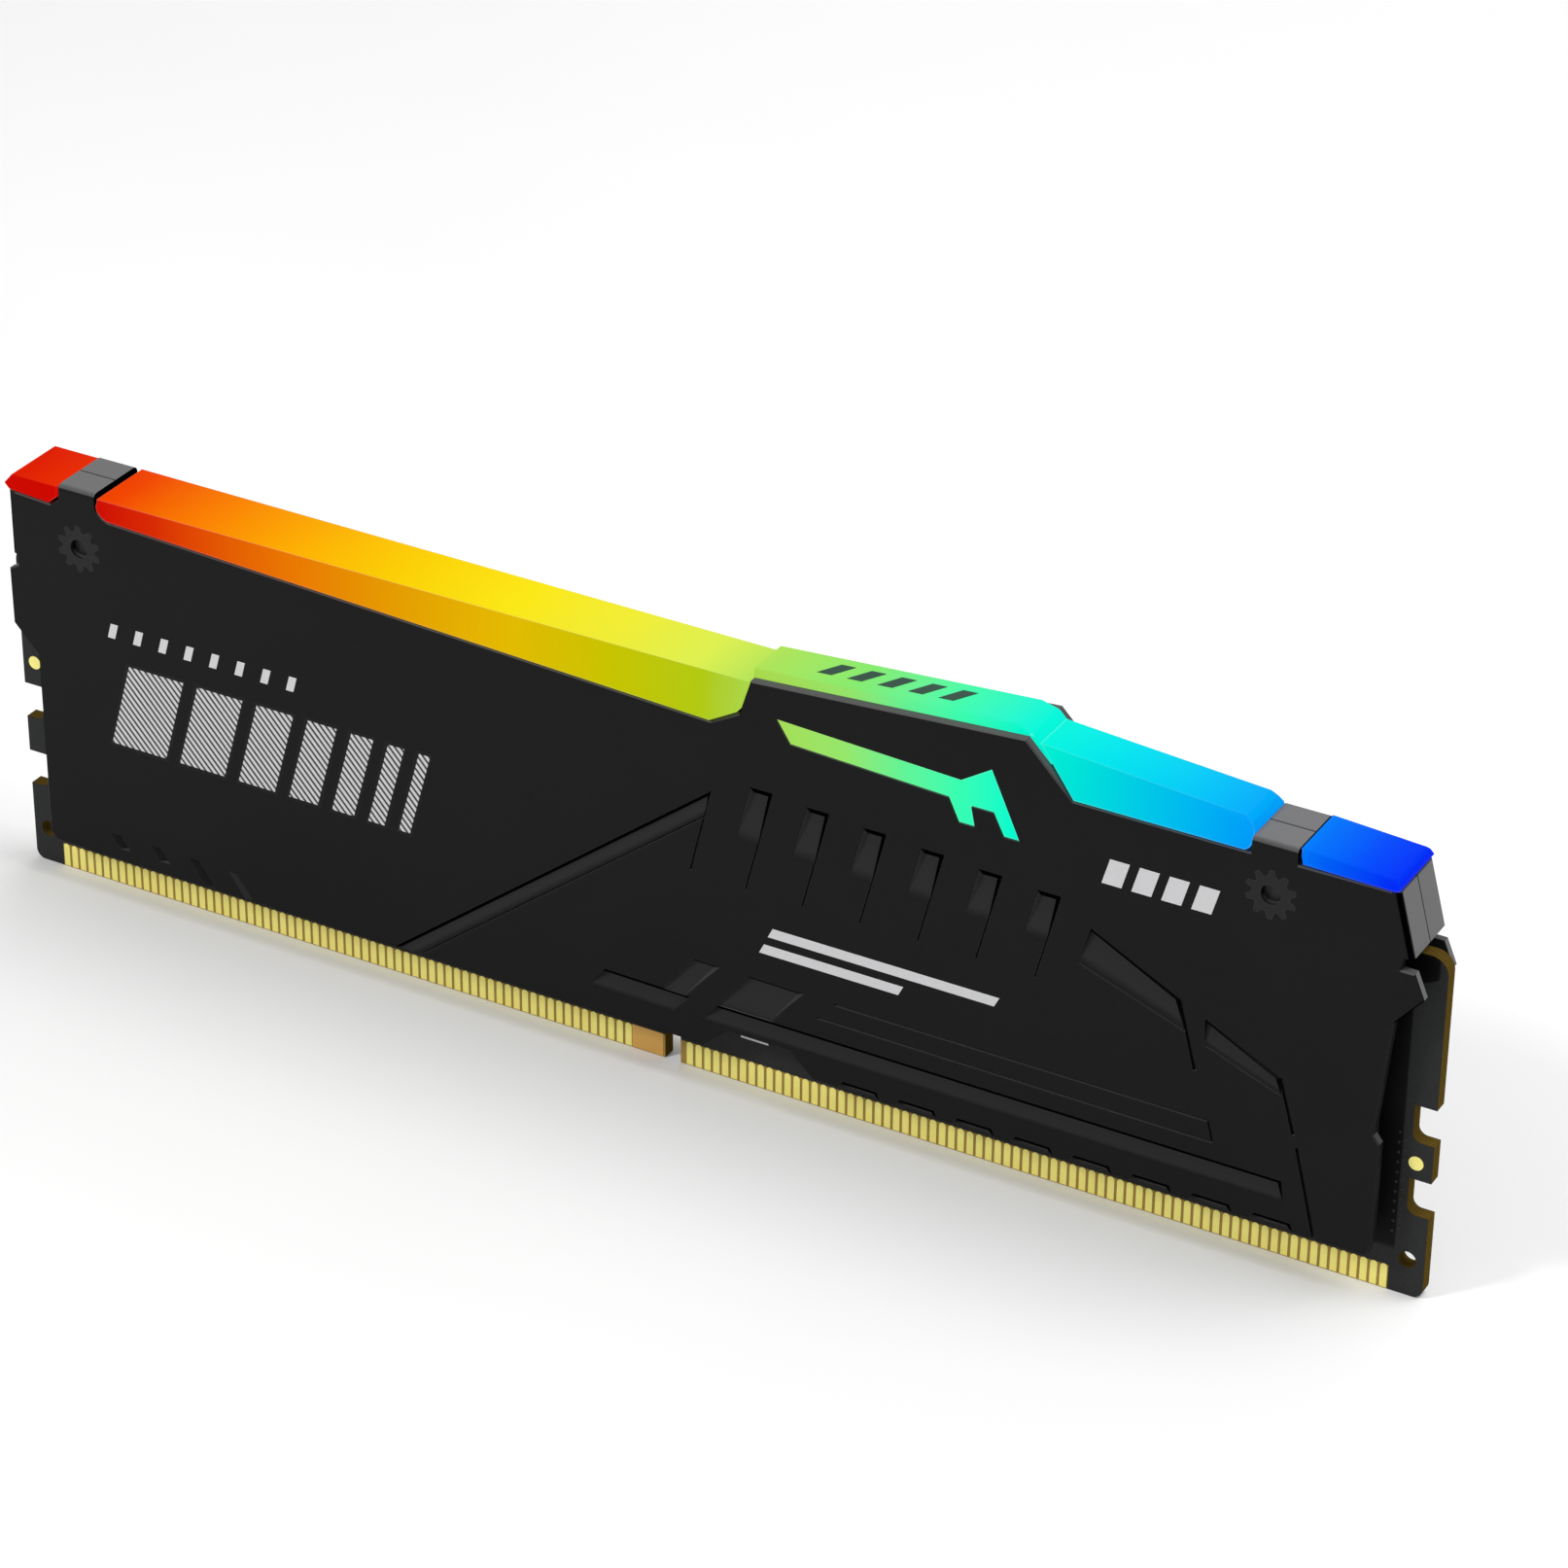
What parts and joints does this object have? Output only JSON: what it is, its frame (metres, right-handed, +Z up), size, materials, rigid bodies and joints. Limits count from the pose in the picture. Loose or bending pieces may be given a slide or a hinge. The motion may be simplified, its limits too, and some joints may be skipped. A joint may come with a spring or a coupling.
{
  "type": "memory module",
  "caption": "Desktop memory module: notched circuit board with gold edge contacts, clad in black folded heat spreaders under a translucent light bar.",
  "frame": {"origin": "middle of the contact edge, on the board's mid-plane and half-way along its length", "axes": "+X along the module towards the end with the longer contact row, -Y out of the front face, +Z up from the contact edge to the light bar"},
  "size_m": [0.1334, 0.0066, 0.0422],
  "materials": {
    "board": "black solder mask over fibreglass laminate, laminate edges bare",
    "gold_plating": "hard gold plating",
    "bare_copper": "plain plated pad, duller than the contacts",
    "chip_mould": "black moulding compound",
    "ferrite": "pressed ferrite, dark grey",
    "capacitor_ceramic": "tan ceramic body",
    "resistor_film": "black glaze over ceramic",
    "led_package": "white LED package",
    "thermal_pad": "soft silicone pad",
    "spreader_coating": "satin black coating on formed aluminium sheet",
    "ring_coating": "satin dark grey coating",
    "light_diffuser": "translucent white diffuser, lit through a spectrum from red at -X to blue at +X",
    "light_core": "milky plastic, dim where it shows between the lit stretches",
    "window_lens": "translucent insert, lit green",
    "clear_guide": "clear acrylic",
    "carrier_plastic": "black moulded plastic",
    "label_film": "silver polyester film, blank"
  },
  "bodies": {
    "root": {"bar_carrier": "carrier_plastic", "blank_label": "label_film", "bypass_capacitors": "capacitor_ceramic", "circuit_board": "board", "contacts_back_left": "gold_plating", "contacts_back_right": "gold_plating", "contacts_front_left": "gold_plating", "contacts_front_right": "gold_plating", "dram_chip_1": "chip_mould", "dram_chip_2": "chip_mould", "dram_chip_3": "chip_mould", "dram_chip_4": "chip_mould", "dram_chip_5": "chip_mould", "dram_chip_6": "chip_mould", "dram_chip_7": "chip_mould", "dram_chip_8": "chip_mould", "heat_spreader_back": "spreader_coating", "heat_spreader_front": "spreader_coating", "key_pad": "bare_copper", "light_bar_cap_left": "light_diffuser", "light_bar_cap_right": "light_diffuser", "light_bar_core": "light_core", "light_bar_deck": "light_diffuser", "light_bar_long": "light_diffuser", "light_bar_right": "light_diffuser", "light_controller": "chip_mould", "light_guide": "clear_guide", "line_resistors": "resistor_film", "power_capacitors": "capacitor_ceramic", "power_controller": "chip_mould", "power_inductors": "ferrite", "presence_detect_hub": "chip_mould", "rgb_leds": "led_package", "test_point_left": "gold_plating", "test_point_right": "gold_plating", "thermal_pad_back": "thermal_pad", "thermal_pad_front_left": "thermal_pad", "thermal_pad_front_right": "thermal_pad", "thermal_pad_power": "thermal_pad", "toothed_ring_back_left": "ring_coating", "toothed_ring_back_right": "ring_coating", "toothed_ring_front_left": "ring_coating", "toothed_ring_front_right": "ring_coating", "window_lens_back": "window_lens", "window_lens_front": "window_lens"}
  },
  "joints": []
}
